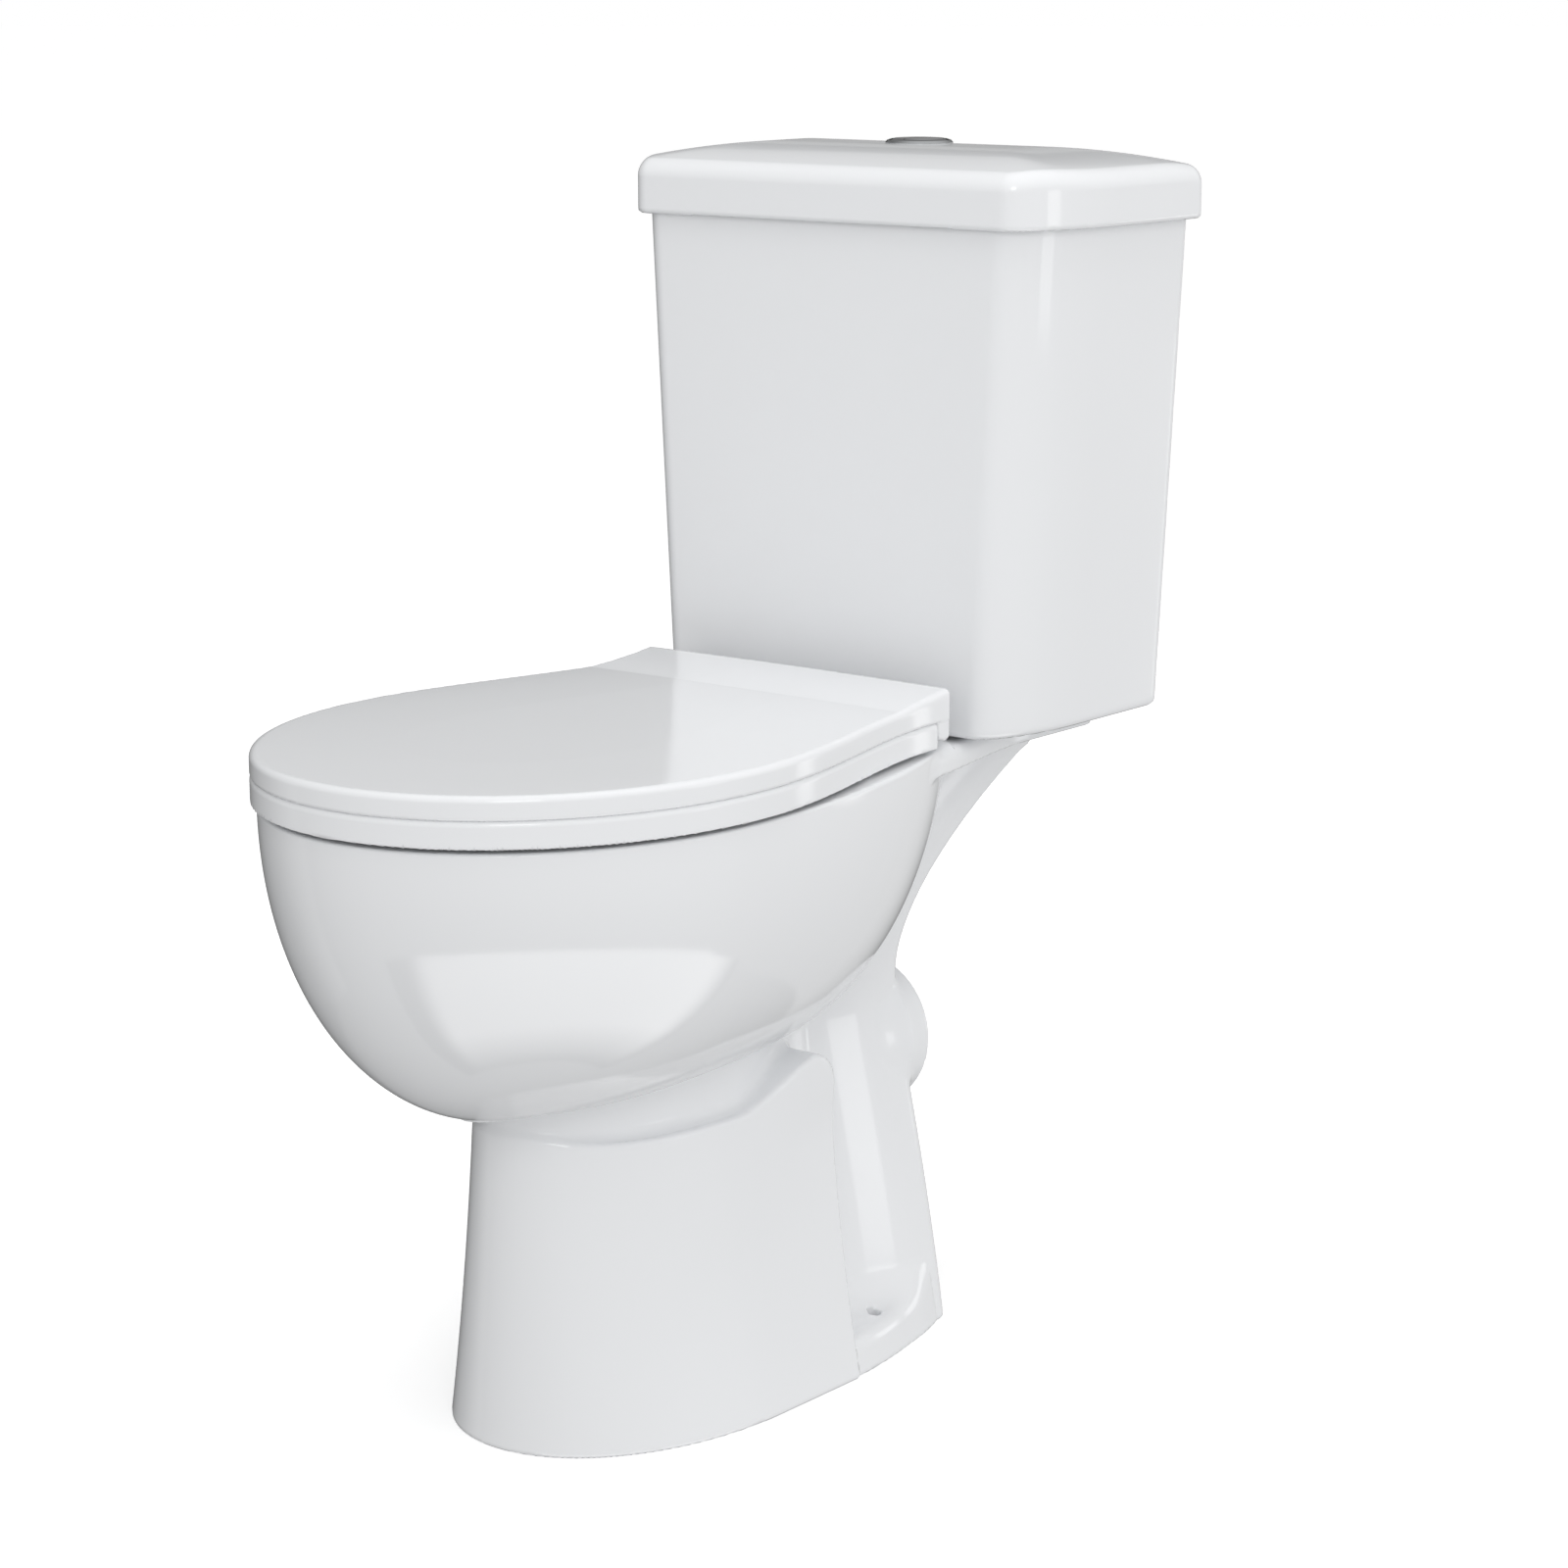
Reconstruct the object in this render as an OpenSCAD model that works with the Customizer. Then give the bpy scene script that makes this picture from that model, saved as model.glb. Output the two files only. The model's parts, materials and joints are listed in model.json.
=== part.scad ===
// Close coupled toilet: washdown pan, dual flush cistern, seat and cover.
// Frame: the origin is under the middle of the whole toilet, on the floor.
// +Z is up, the front of the bowl faces -Y and the wall is behind, at +Y.

/* [Seat and cover] */
// Half of the seat's greatest width
seat_half_w = 166; // [160:1:175]
// Front tip of the seat
seat_front_y = -326; // [-340:1:-315]
// Where the seat is widest
seat_wide_y = -128; // [-140:1:-110]
// Half width of the seat's straight rear end
seat_rear_half_w = 125.5; // [118:0.5:130]
// Rear edge of the cover
cover_rear_y = 110; // [108:1:113]
// Underside of the seat ring
ring_z = 411; // [411:0.1:412]
// Thickness of the seat ring
ring_t = 15.3; // [13:0.1:16]
// Underside of the cover's edge
cover_z = 427.6; // [427:0.1:428]
// Thickness of the cover at its front
cover_t = 15.6; // [14:0.1:17]
// How much higher the cover is at its rear edge
cover_rise = 6.6; // [3:0.1:8]

/* [Hinges] */
// Height of the hinge line above the floor
hinge_z = 422; // [421.5:0.5:423]
// Distance of the hinge line behind the origin
hinge_y = 103; // [102.5:0.5:103]
// Half of the distance between the two hinge posts
hinge_x = 78; // [76:1:80]
// Radius of a hinge pin
pin_r = 3; // [2.5:0.5:3.5]
// Radial running clearance on a hinge pin
pin_gap = 0.05; // [0.02:0.01:0.1]

/* [Bowl and pedestal] */
// Height of the pan's rim
rim_z = 408.8; // [405:0.1:409]
// Half of the bowl's width at the rim
bowl_half_w = 163; // [155:1:165]
// Lowest point of the bowl's outside
bowl_low_z = 215.5; // [212:0.5:222]
// Half of the foot's width
foot_half_w = 105; // [98:1:110]
// Front half-length of the foot, from its widest place
foot_front_len = 157; // [150:1:165]
// Where the foot is widest
foot_wide_y = -34.5; // [-40:0.5:-30]
// Rear end of the foot
foot_rear_y = 181; // [178:1:184]
// Top of the ledge that the floor screws press on
ledge_z = 24; // [18:1:28]
// Half of the distance between the floor screw holes
floor_hole_x = 80; // [78:1:82]
// Distance of the floor screw holes behind the origin
floor_hole_y = 91; // [88:1:94]
// Radius of the floor screw holes
floor_hole_r = 4.5; // [4:0.1:5]

/* [Waste outlet] */
// Height of the outlet's centre above the floor
spigot_z = 187; // [180:1:190]
// Outside radius of the outlet spigot
spigot_r = 51.5; // [51:0.1:52]
// Rear end of the outlet spigot
spigot_end_y = 191; // [188:1:200]
// Inside radius of the outlet spigot
spigot_bore_r = 44; // [42:0.5:45]

/* [Shelf under the cistern] */
// Top of the shelf
shelf_z = 407; // [406:0.1:408]
// Thickness of the shelf
shelf_t = 16; // [14:1:18]
// Rear edge of the shelf
shelf_rear_y = 319; // [312:1:320]

/* [Cistern] */
// Underside of the cistern
tank_z = 409.5; // [409.5:0.1:411]
// Top of the cistern's walls
tank_top_z = 741; // [738:1:742]
// Half width at the bottom of the cistern
tank_low_half_w = 148; // [145:1:152]
// Half width at the top of the cistern
tank_top_half_w = 165.5; // [163:0.5:166]
// Thickness of the cistern's walls
tank_wall = 9; // [8:0.5:10]
// Middle of the flush valve, behind the origin
valve_y = 241; // [238:1:244]
// Middle of the fill valve, left of the origin
fill_x = -119; // [-120:1:-118]

/* [Cistern lid] */
// Half width of the lid
lid_half_w = 173; // [172:0.5:175]
// Front edge of the lid
lid_front_y = 129.5; // [128:0.5:130]
// Lower edge of the lid
lid_z = 734.8; // [733:0.1:736]
// Height of the middle of the lid
lid_top_z = 781.5; // [780:0.1:784]

/* [Flush buttons] */
// Outside radius of the chrome bezel
bezel_r = 22.5; // [21:0.5:24]
// Radius of the pair of buttons
button_r = 17.6; // [16:0.1:18]
// Gap between the two buttons
button_split = 0.8; // [0.6:0.1:1.2]

/* [Hidden] */
$fn = 64;
ceramic = "white";
chrome = "silver";
lid_rear_y = -seat_front_y;
ring_top_z = ring_z + ring_t;
cover_top_z = cover_z + cover_t;
tank_rear_y = 320.5;
tank_top_front_y = 135;
tank_low_front_y = 136;
skirt_rear_y = 46;
seat_exponent = 2.02;
barrel_r = 7;
notch_half = 21.5;
lug_x = 14;
foot_exponent = 2.1;
front_bow = 1.2;
corner_fullness = 0.91;
corner_w = 31;
corner_d = 88;
tank_floor_z = tank_z + 10;
spigot_start_y = 181;

// ---------------------------------------------------------------- functions

function clamp01(u) = max(0, min(1, u));
function ease(u) = let (c = clamp01(u)) c * c * (3 - 2 * c);
function mix(a, b, u) = a + (b - a) * u;

// Closed outline from its right half, which runs from the front centre to the rear
function both_sides(right) = concat(right,
    [for (i = [len(right) - 1 : -1 : 1]) if (right[i][0] > 0) [-right[i][0], right[i][1]]]);

// Right half of an egg: superellipse front, elliptic rear
function egg(half_w, front, wide, rear, e = 2, steps = 12) = concat(
    [for (i = [0 : steps]) let (a = 90 * i / steps)
        [half_w * pow(sin(a), 2 / e), wide - (wide - front) * pow(cos(a), 2 / e)]],
    [for (i = [1 : steps]) let (a = 90 * i / steps)
        [i == steps ? 0 : half_w * cos(a), wide + (rear - wide) * sin(a)]]);

// Half width of the seat behind its widest place
function seat_rear_half(y) = mix(seat_half_w, seat_rear_half_w, ease((y - seat_wide_y) / 230));

// Right half of the seat's outline, moved in by inset, with its rear end at rear
function seat_right(inset, rear, front_steps = 14, rear_steps = 12, r = 4) = concat(
    [for (i = [0 : front_steps]) let (a = 90 * i / front_steps)
        [(seat_half_w - inset) * pow(sin(a), 2 / seat_exponent),
         seat_wide_y - (seat_wide_y - seat_front_y - inset) * pow(cos(a), 2 / seat_exponent)]],
    [for (i = [1 : rear_steps])
        let (y = mix(seat_wide_y, rear - r, i / rear_steps)) [seat_rear_half(y) - inset, y]],
    [[seat_rear_half(rear) - inset - 0.3 * r, rear - 0.3 * r],
     [seat_rear_half(rear) - inset - r, rear]]);

// Extra height of the cover near its rear edge
function cover_lift(y) = cover_rise * pow(clamp01((y - 50) / (cover_rear_y - 50)), 1.2);

// Right half of a rounded box with elliptic front corners
function box_right(half_w, front, rear, rx, ry, rb, steps = 12) = concat(
    [[0, front - front_bow], [(half_w - rx) / 2, front - 0.75 * front_bow]],
    [for (i = [0 : steps]) let (a = 90 * i / steps)
        [half_w - rx + rx * pow(sin(a), corner_fullness),
         front + ry - ry * pow(cos(a), corner_fullness)]],
    [for (i = [0 : 4]) let (a = 90 * i / 4)
        [half_w - rb + rb * cos(a), rear - rb + rb * sin(a)]]);

// Adds a height to every point of an outline
function at_z(outline, z) = [for (p = outline) [p[0], p[1], z]];

// Outline of the bowl at the depth fraction t, 0 at the rim and 1 at its lowest point
function bowl_half(t) = bowl_half_w * pow(1 - pow(t, 2.23), 1 / 2.55);
function bowl_front(t) = seat_front_y + 3 + 137 * (1 - pow(1 - pow(t, 1.95), 1 / 2.23));
function bowl_rear(t) = 210 - 142 * (1 - pow(1 - pow(t, 1.37), 1 / 1.83));

// Half width of the pedestal's skirt at height z
function skirt_half(z) = foot_half_w - 0.2 * z + 0.00035 * z * z;
function skirt_right(z, inset = 0) = let (w = skirt_half(z) - inset,
    front = foot_wide_y - foot_front_len + 0.05 * z + inset) concat(
    [for (i = [0 : 14]) let (a = 90 * i / 14)
        [w * pow(sin(a), 2 / foot_exponent),
         foot_wide_y - (foot_wide_y - front) * pow(cos(a), 2 / foot_exponent)]],
    [[w, 6], [w - 1, skirt_rear_y - inset]]);

// Half width of the foot behind its widest place, at height z
function foot_half(y, z) = skirt_half(z) - 20.5 * pow(max(0, y - 20) / 132, 2);
function foot_right(z, inset) = concat(
    [for (i = [0 : 14]) let (a = 90 * i / 14)
        [(skirt_half(z) - inset) * pow(sin(a), 2 / foot_exponent),
         foot_wide_y - (foot_front_len - inset) * pow(cos(a), 2 / foot_exponent)]],
    [for (i = [1 : 6]) let (y = mix(foot_wide_y, foot_rear_y - 26, i / 6))
        [foot_half(y, z) - inset, y]],
    [for (i = [1 : 4]) let (a = 90 * i / 4, w = foot_half(foot_rear_y - 26, z))
        [w - 22 + (22 - inset) * cos(a), foot_rear_y - 26 + (26 - inset) * sin(a)]]);

// Half width and rear edge of the spine that hides the trap and carries the shelf
function spine_half(z) = z < 215 ? 36 + 44 * pow((215 - z) / 215, 0.82)
    : 36 + 26 * pow((z - 215) / 175, 1.6);
function spine_rear(z) = z < 240 ? 179 : min(179 + 145 * pow((z - 240) / 150, 1.76), 300);
function spine_right(z) = let (w = spine_half(z), core = min(w, 42), rear = spine_rear(z), r = 8)
    [[0, -62], [core, -60], [core, 100], [core, rear - 48], [mix(core, w, 0.15), rear - 38],
     [mix(core, w, 0.6), rear - 28], [w, rear - 16], [w, rear - r], [w - 0.3 * r, rear - 0.3 * r],
     [w - r, rear]];

// Half width of the shelf and of the deck behind the seat
function shelf_half(y) = mix(124, 99, ease((y - 70) / 170));

// Cistern outline at the height fraction u, moved in by inset
function tank_right(u, inset = 0) = box_right(
    mix(tank_low_half_w, tank_top_half_w, u) - inset,
    mix(tank_low_front_y, tank_top_front_y, u) + inset,
    tank_rear_y - inset,
    corner_w - inset, corner_d - inset, max(14 - inset, 4));
function tank_u(z) = (z - tank_z) / (tank_top_z - tank_z);

// Lid outline moved in by inset
function lid_right(inset) = box_right(lid_half_w - inset, lid_front_y + inset, lid_rear_y - inset,
    max(corner_w - inset, 4), max(corner_d + 7 - inset, 3), max(14 - inset, 2));

// ---------------------------------------------------------------- solids

// Closed skin through outlines of equal length, each symmetric about x = 0
module loft(rings) {
    n = len(rings[0]);
    m = len(rings);
    top = (m - 1) * n;
    sides = [for (i = [0 : m - 2], j = [0 : n - 1])
        let (a = i * n + j, b = i * n + (j + 1) % n)
        each [[a, a + n, b + n], [a, b + n, b]]];
    low_cap = [for (p = [0 : floor(n / 2) - 1]) let (q = p + 1, pm = (n - p) % n, qm = n - q)
        each concat(q == qm ? [] : [[p, q, qm]], p == 0 ? [] : [[p, qm, pm]])];
    high_cap = [for (f = low_cap) [f[2] + top, f[1] + top, f[0] + top]];
    polyhedron([for (r = rings) each r], concat(sides, low_cap, high_cap), convexity = 6);
}

// The same solid at +x and -x
module pair(x, y = 0, z = 0) {
    for (side = [-1, 1]) translate([side * x, y, z]) children();
}

// Cylinder along X, centred
module x_cylinder(r, len) {
    rotate([0, 90, 0]) cylinder(r = r, h = len, center = true);
}

// Cylinder along Y from y0 to y1
module y_cylinder(r, y0, y1) {
    translate([0, y0, 0]) rotate([-90, 0, 0]) cylinder(r = r, h = y1 - y0);
}

// Straight round passage between two points of the plane x = 0
module passage(r, from, to) {
    d = to - from;
    translate([0, from[0], from[1]]) rotate([-atan2(d[0], d[1]), 0, 0]) cylinder(r = r, h = norm(d));
}

// Round plate with a hole
module washer(r, hole, h) {
    difference() {
        cylinder(r = r, h = h);
        translate([0, 0, -1]) cylinder(r = hole, h = h + 2);
    }
}

module hex_nut(r, hole, h) {
    difference() {
        cylinder(r = r, h = h, $fn = 6);
        translate([0, 0, -1]) cylinder(r = hole, h = h + 2);
    }
}

// ---------------------------------------------------------------- pan

module bowl_outside() {
    loft([for (i = [12 : -1 : 0]) let (t = sin(82 * i / 12))
        at_z(both_sides(egg(bowl_half(t), bowl_front(t), -127 + 11 * t, bowl_rear(t))),
             mix(rim_z, bowl_low_z, t))]);
}

// The well inside the bowl, from its lowest level up through the rim
module bowl_inside() {
    function well_half(t) = 119 * pow(1 - pow(t, 2.4), 0.4);
    function well_front(t) = -279 + 170 * (1 - pow(1 - t * t, 0.5));
    loft(concat(
        [for (i = [10 : -1 : 0]) let (t = sin(80 * i / 10))
            at_z(both_sides(egg(well_half(t), well_front(t), -112 + 70 * t, 38 + 4 * t, 2.05)),
                 mix(rim_z - 12, 232, t))],
        [at_z(both_sides(egg(112, -272, -112, 32, 2.05)), rim_z - 3),
         at_z(both_sides(egg(115, -275, -112, 35, 2.05)), rim_z + 1)]));
}

module skirt() {
    intersection() {
        loft([for (s = [[0, 2.5], [3, 0], [30, 0], [75, 0], [125, 0], [170, 0], [225, 0]])
            at_z(both_sides(skirt_right(s[0], s[1])), s[0])]);
        // the upper edge dips along the side and peaks just ahead of the side recess
        rotate([90, 0, 90]) translate([0, 0, -120]) linear_extrude(240) polygon([
            [-210, -1], [-210, 212], [-190, 204], [-165, 196.5], [-135, 194.3], [-95, 194.6],
            [-60, 196], [-28, 199], [-4, 206], [13, 213], [24, 217.5], [31, 217.5], [38, 212.5],
            [44, 201], [skirt_rear_y, 190], [skirt_rear_y + 1, -1]]);
    }
}

// Narrow neck between the skirt and the bowl
module neck() {
    loft([for (s = [[150, 12], [200, 10], [214, 8], [232, 2], [246, -6]]) let (z = s[0], inset = s[1])
        at_z(both_sides(egg(skirt_half(z) - inset, -186 + inset, foot_wide_y, 90, 2.1)), z)]);
}

module spine() {
    loft([for (z = [0, 25, 60, 100, 140, 180, 215, 240, 262, 285, 305, 325, 345, 362, 378, 391])
        at_z(both_sides(spine_right(z)), z)]);
}

module shelf() {
    function shelf_right(inset) = concat([[0, 58], [shelf_half(60) - inset, 60]],
        [for (i = [0 : 10]) let (y = mix(90, shelf_rear_y - 16, i / 10)) [shelf_half(y) - inset, y]],
        [for (i = [1 : 4]) let (a = 90 * i / 4, w = shelf_half(shelf_rear_y - 16))
            [w - 16 + (16 - inset) * cos(a), shelf_rear_y - 16 + (16 - inset) * sin(a)]]);
    loft([for (s = [[0, 1.5], [2, 0], [7.5, 0], [11, 1.5], [14, 5], [shelf_t, 11]])
        at_z(both_sides(shelf_right(s[1])), shelf_z - shelf_t + s[0])]);
}

module pan() {
    color(ceramic) difference() {
        union() {
            skirt();
            neck();
            bowl_outside();
            loft([for (s = [[0, 2.5], [3, 0], [ledge_z - 6, 0], [ledge_z - 2, 1.5], [ledge_z, 5]])
                at_z(both_sides(foot_right(s[0], s[1])), s[0])]);
            spine();
            shelf();
            // outlet: a cone that widens from the trap, then the parallel spigot
            translate([0, 130, spigot_z]) rotate([-90, 0, 0])
                cylinder(r1 = 34, r2 = spigot_r - 0.8, h = spigot_start_y - 130);
            translate([0, 0, spigot_z]) y_cylinder(spigot_r, spigot_start_y, spigot_end_y);
        }
        bowl_inside();
        // sump, weir and outlet of the trap
        translate([0, -18, 192]) cylinder(r = 42, h = 60);
        passage(28, [-18, 222], [92, 240]);
        passage(28, [84, 246], [158, spigot_z]);
        translate([0, 0, spigot_z]) y_cylinder(28, 140, 176);
        translate([0, 0, spigot_z]) y_cylinder(spigot_bore_r, 174, spigot_end_y + 1);
        // seat of the coupling gasket, inlet and the duct to the rim
        translate([0, valve_y, 392]) cylinder(r = 50, h = 30);
        translate([0, valve_y, 352]) cylinder(r = 27, h = 60);
        passage(15, [valve_y, 372], [30, 384]);
        // the deck behind the seat steps down to the shelf
        translate([-200, 128, shelf_z]) cube([400, 200, 20]);
        pair(hinge_x, hinge_y, rim_z - 42) cylinder(r = 7, h = 60);
        pair(hinge_x, valve_y, 380) cylinder(r = 4.5, h = 60);
        pair(hinge_x, valve_y, 380) cylinder(r = 12, h = shelf_z - 8 - 380);
        pair(floor_hole_x, floor_hole_y, -1) cylinder(r = floor_hole_r, h = ledge_z + 20);
    }
}

// ---------------------------------------------------------------- seat

module seat_ring() {
    z0 = ring_z;
    z1 = ring_top_z;
    color("white") union() {
        difference() {
            loft([for (s = [[z0, 1.2], [z0 + 1.2, 0], [z1 - 2.5, 0], [z1 - 0.8, 0.9], [z1, 3]])
                at_z(both_sides(seat_right(s[1], hinge_y)), s[0])]);
            loft([for (s = [[z0 - 1, -1], [z0 + 3, 0], [z1 - 5, 0], [z1 - 2, -2], [z1 + 1, -6]])
                at_z(both_sides(egg(106 - s[1], -262 + s[1], -112, 28 - s[1], 2.1)), s[0])]);
            // the rear end is hollowed round the cover's hinge barrel
            translate([0, hinge_y, hinge_z]) x_cylinder(barrel_r + 0.6, 300);
            translate([-150, hinge_y - 5, z0 - 1]) cube([300, 20, 40]);
            // room for the hinge posts
            pair(hinge_x) translate([-notch_half, hinge_y - 10, z0 - 1])
                cube([2 * notch_half, 20, 40]);
        }
        for (side = [-1, 1]) pair(hinge_x + side * lug_x) difference() {
            union() {
                translate([-6, hinge_y - 14, hinge_z - 6.5]) cube([12, 14, 10.8]);
                translate([0, hinge_y, hinge_z]) x_cylinder(6.5, 12);
            }
            translate([0, hinge_y, hinge_z]) x_cylinder(pin_r + pin_gap, 20);
        }
    }
}

module seat_cover() {
    z0 = cover_z;
    z1 = cover_top_z;
    function lifted(outline, z) = [for (p = outline) [p[0], p[1], z + cover_lift(p[1])]];
    color("white") difference() {
        union() {
            difference() {
                loft([for (s = [[z0, 1.4], [z0 + 1.4, 0], [z1 - 3.5, 0], [z1 - 1.2, 1.1], [z1, 4]])
                    s[0] > z0 + 2 ? lifted(both_sides(seat_right(s[1], cover_rear_y - s[1] / 2)), s[0])
                    : at_z(both_sides(seat_right(s[1], cover_rear_y - s[1] / 2)), s[0])]);
                // shallow hollow under the cover and room for the hinges
                loft([for (s = [[z0 - 1, 9], [z0 + 6, 9], [z0 + 8, 12]])
                    at_z(both_sides(seat_right(s[1], 60)), s[0])]);
            }
            // round hinge barrel along the rear edge
            translate([0, hinge_y, hinge_z]) x_cylinder(barrel_r, 2 * seat_rear_half_w - 1);
            translate([-seat_rear_half_w + 0.5, hinge_y - 5, hinge_z])
                cube([2 * seat_rear_half_w - 1, 5 + barrel_r, 12]);
        }
        pair(hinge_x + notch_half + 6, hinge_y, hinge_z) x_cylinder(pin_r + pin_gap, 16);
        // notches for the posts and for the ring's lugs
        pair(hinge_x, hinge_y - 16, hinge_z - 20) translate([-notch_half, 0, 0])
            cube([2 * notch_half, 40, 28.5]);
    }
}

module bumper(h) {
    cylinder(r1 = 7, r2 = 8, h = h);
}

module ring_bumpers() {
    color("gainsboro") {
        pair(96, -230, rim_z + 0.1) bumper(ring_z - rim_z - 0.1);
        pair(128, 10, rim_z + 0.1) bumper(ring_z - rim_z - 0.1);
    }
}

module cover_bumpers() {
    color("gainsboro") {
        pair(70, -272, ring_top_z + 0.1) cylinder(r = 7, h = cover_z + 7.8 - ring_top_z - 0.1);
        pair(115, 8, ring_top_z + 0.1) cylinder(r = 7, h = cover_z + 7.8 - ring_top_z - 0.1);
    }
}

// ---------------------------------------------------------------- hinges

module hinge_posts() {
    color(chrome) pair(hinge_x, hinge_y) difference() {
        union() {
            translate([0, 0, rim_z]) cylinder(r = 12, h = 2);
            translate([-7, -6, rim_z]) cube([14, 12, hinge_z - rim_z]);
            translate([0, 0, hinge_z]) x_cylinder(6, 14);
        }
        translate([0, 0, hinge_z]) x_cylinder(pin_r, 20);
        translate([0, 0, rim_z - 1]) cylinder(r = 2.5, h = 9);
    }
}

module hinge_pins() {
    length = notch_half + lug_x + 14;
    color(chrome) pair(hinge_x + notch_half + 12 - length / 2, hinge_y, hinge_z)
        x_cylinder(pin_r, length);
}

module hinge_bolts() {
    color(chrome) pair(hinge_x, hinge_y, rim_z - 38) cylinder(r = 2.5, h = 46);
}

module hinge_sleeves() {
    color("dimgray") pair(hinge_x, hinge_y, rim_z - 30) washer(6.8, 2.6, 29.5);
}

module hinge_nuts() {
    color(chrome) pair(hinge_x, hinge_y, rim_z - 36) hex_nut(5.6, 2.55, 5);
}

// ---------------------------------------------------------------- cistern

module cistern() {
    color(ceramic) difference() {
        loft([for (s = [[0, 8], [1.5, 4.5], [4, 1.6], [9, 0], [110, 0], [220, 0], [331.5, 0]])
            at_z(both_sides(tank_right(tank_u(tank_z + s[0]), s[1])), tank_z + s[0])]);
        loft([for (z = [tank_floor_z, tank_floor_z + 4, tank_top_z + 4])
            at_z(both_sides(tank_right(tank_u(z), tank_wall + (z < tank_floor_z + 1 ? 4 : 0))), z)]);
        translate([0, valve_y, tank_z - 1]) cylinder(r = 31, h = 14);
        translate([fill_x, valve_y, tank_z - 1]) cylinder(r = 11, h = 14);
        // pockets for the heads of the coupling bolts
        pair(hinge_x, valve_y, tank_z - 1) cylinder(r = 10, h = 6);
    }
}

module cistern_lid() {
    // rounded lower edge, upright side, tight upper edge, then a dome that flattens to the middle
    function dome(inset) = lid_top_z - 12.5 * pow(1 - inset / 86, 1.85);
    profile = concat([[lid_z, 2.2], [lid_z + 0.8, 0.8], [lid_z + 2.4, 0], [lid_top_z - 19, 0],
        [lid_top_z - 15.4, 0.5], [lid_top_z - 13, 1.9]],
        [for (inset = [4.5, 9, 16, 26, 40, 60, 86]) [dome(inset), inset]]);
    color(ceramic) difference() {
        loft([for (s = profile) at_z(both_sides(lid_right(s[1])), s[0])]);
        // rebate that drops over the cistern's walls
        loft([for (z = [lid_z - 1, tank_top_z + 0.3]) at_z(both_sides(tank_right(1, -1.2)), z)]);
        loft([for (s = [[tank_top_z - 1, 14], [lid_top_z - 17, 14], [lid_top_z - 11, 24]])
            at_z(both_sides(tank_right(1, s[1])), s[0])]);
        translate([0, valve_y, lid_z]) cylinder(r = 20.3, h = 60);
        translate([0, valve_y, lid_top_z - 0.4]) cylinder(r = bezel_r + 0.3, h = 10);
    }
}

// ---------------------------------------------------------------- flush buttons

bezel_z = lid_top_z - 0.4;

module button_bezel() {
    color(chrome) translate([0, valve_y, 0]) rotate_extrude() polygon([
        [button_r + 0.3, bezel_z - 12], [20, bezel_z - 12], [20, bezel_z], [bezel_r, bezel_z],
        [bezel_r, bezel_z + 0.8], [bezel_r - 1.2, bezel_z + 2.2], [button_r + 1.2, bezel_z + 3],
        [button_r + 0.3, bezel_z + 2.4]]);
}

// Half of a round push button; side is +1 or -1 and tells which half
module push_button(side) {
    translate([0, valve_y, 0]) intersection() {
        rotate_extrude() polygon([[0, bezel_z - 4], [button_r, bezel_z - 4],
            [button_r, bezel_z + 2.4], [button_r - 1.2, bezel_z + 3.4], [0, bezel_z + 3.8]]);
        translate([side > 0 ? button_split / 2 : -30, -30, bezel_z - 10])
            cube([30 - button_split / 2, 60, 20]);
    }
}

module half_flush_button() {
    color(chrome) push_button(-1);
}

module full_flush_button() {
    color(chrome) push_button(1);
}

// Threaded tube under the lid that guides the push rods
module button_housing() {
    color("whitesmoke") translate([0, valve_y, 0]) difference() {
        union() {
            translate([0, 0, bezel_z - 46]) cylinder(r = 19.6, h = 34);
            translate([0, 0, bezel_z - 48]) cylinder(r = 16, h = 3);
        }
        translate([0, 0, bezel_z - 42]) cylinder(r = 18, h = 40);
        pair(7, 0, bezel_z - 50) cylinder(r = 3.2, h = 20);
    }
}

module housing_nut() {
    color("whitesmoke") translate([0, valve_y, bezel_z - 22]) difference() {
        cylinder(r = 27, h = 8);
        translate([0, 0, -1]) cylinder(r = 19.7, h = 12);
        for (a = [0 : 45 : 315]) rotate([0, 0, a]) translate([28.5, 0, -1]) cylinder(r = 4, h = 12);
    }
}

module push_rod(side) {
    translate([side * 7, valve_y, bezel_z - 126]) cylinder(r = 2.8, h = 122);
    translate([side * 7, valve_y, bezel_z - 14]) cylinder(r = 5, h = 10);
}

module half_push_rod() {
    color("whitesmoke") push_rod(-1);
}

module full_push_rod() {
    color("whitesmoke") push_rod(1);
}

// Round wire wound round each push rod
module button_springs() {
    turns = 4;
    steps = 12;
    wire = 0.6;
    coil = 6.1;
    low = bezel_z - 40.6;
    rise = 25.4 / turns;
    rings = [for (i = [0 : turns * steps]) let (a = 360 * i / steps, z = low + rise * i / steps)
        [for (j = [0 : 5]) let (b = 60 * j)
            [(coil + wire * cos(b)) * cos(a), (coil + wire * cos(b)) * sin(a), z + wire * sin(b)]]];
    last = len(rings) - 1;
    faces = concat(
        [for (i = [0 : last - 1], j = [0 : 5]) let (p = i * 6 + j, q = i * 6 + (j + 1) % 6)
            each [[p, q, q + 6], [p, q + 6, p + 6]]],
        [[5, 4, 3, 2, 1, 0]], [[for (j = [0 : 5]) last * 6 + j]]);
    color("lightgray") pair(7, valve_y) polyhedron([for (r = rings) each r], faces);
}

// ---------------------------------------------------------------- flush valve

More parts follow.
